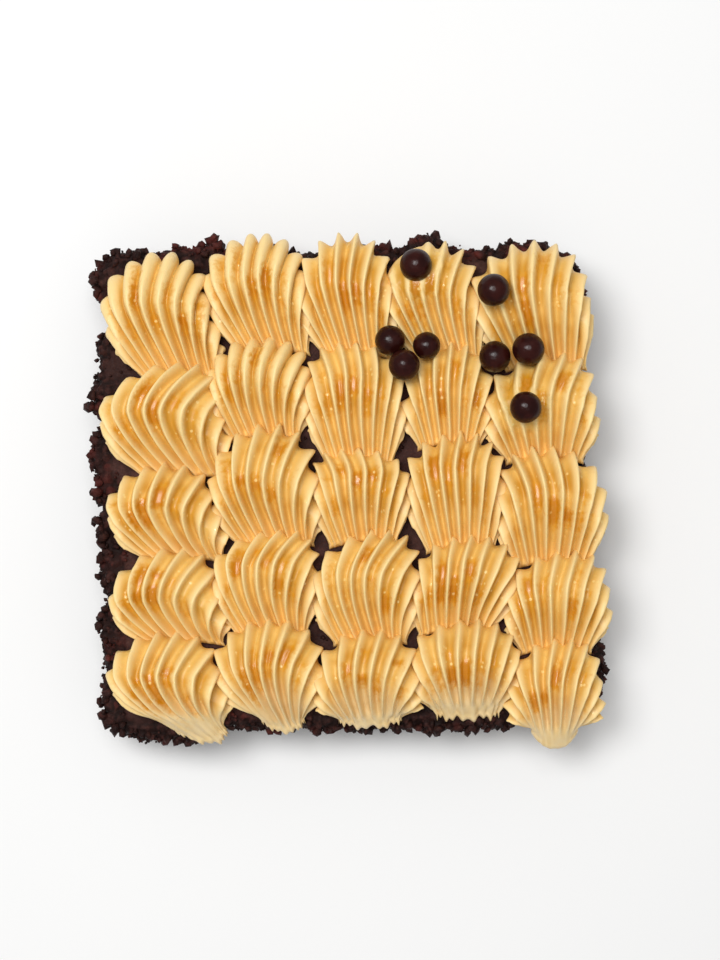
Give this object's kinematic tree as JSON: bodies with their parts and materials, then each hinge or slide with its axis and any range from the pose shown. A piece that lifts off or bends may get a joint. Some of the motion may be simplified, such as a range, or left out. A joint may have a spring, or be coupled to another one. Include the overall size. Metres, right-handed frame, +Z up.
{
  "type": "chocolate brownie",
  "caption": "Square slab of dark chocolate brownie topped with rows of star-piped caramel buttercream shells, a few chocolate pearls and a thin drizzle of caramel.",
  "frame": {"origin": "middle of the slab's flat underside", "axes": "+Z up, +X to the right and +Y towards the heads of the piped shells as the topping is seen from above, both along the slab's sides"},
  "size_m": [0.1544, 0.1562, 0.0516],
  "materials": {
    "brownie_crumb": "open dark chocolate crumb, dull, with a thin matt grey-brown crust on top",
    "caramel_buttercream": "smooth satin caramel buttercream with glossy amber caramel in its flutes",
    "dark_chocolate": "dark chocolate with a soft satin shine"
  },
  "bodies": {
    "root": {"brownie_slab": "brownie_crumb", "shell_1_1": "caramel_buttercream", "shell_1_2": "caramel_buttercream", "shell_1_3": "caramel_buttercream", "shell_1_4": "caramel_buttercream", "shell_1_5": "caramel_buttercream", "shell_2_1": "caramel_buttercream", "shell_2_2": "caramel_buttercream", "shell_2_3": "caramel_buttercream", "shell_2_4": "caramel_buttercream", "shell_2_5": "caramel_buttercream", "shell_3_1": "caramel_buttercream", "shell_3_2": "caramel_buttercream", "shell_3_3": "caramel_buttercream", "shell_3_4": "caramel_buttercream", "shell_3_5": "caramel_buttercream", "shell_4_1": "caramel_buttercream", "shell_4_2": "caramel_buttercream", "shell_4_3": "caramel_buttercream", "shell_4_4": "caramel_buttercream", "shell_4_5": "caramel_buttercream", "shell_5_1": "caramel_buttercream", "shell_5_2": "caramel_buttercream", "shell_5_3": "caramel_buttercream", "shell_5_4": "caramel_buttercream", "shell_5_5": "caramel_buttercream", "pearl_1": "dark_chocolate", "pearl_2": "dark_chocolate", "pearl_3": "dark_chocolate", "pearl_4": "dark_chocolate", "pearl_5": "dark_chocolate", "pearl_6": "dark_chocolate", "pearl_7": "dark_chocolate", "pearl_8": "dark_chocolate"}
  },
  "joints": []
}
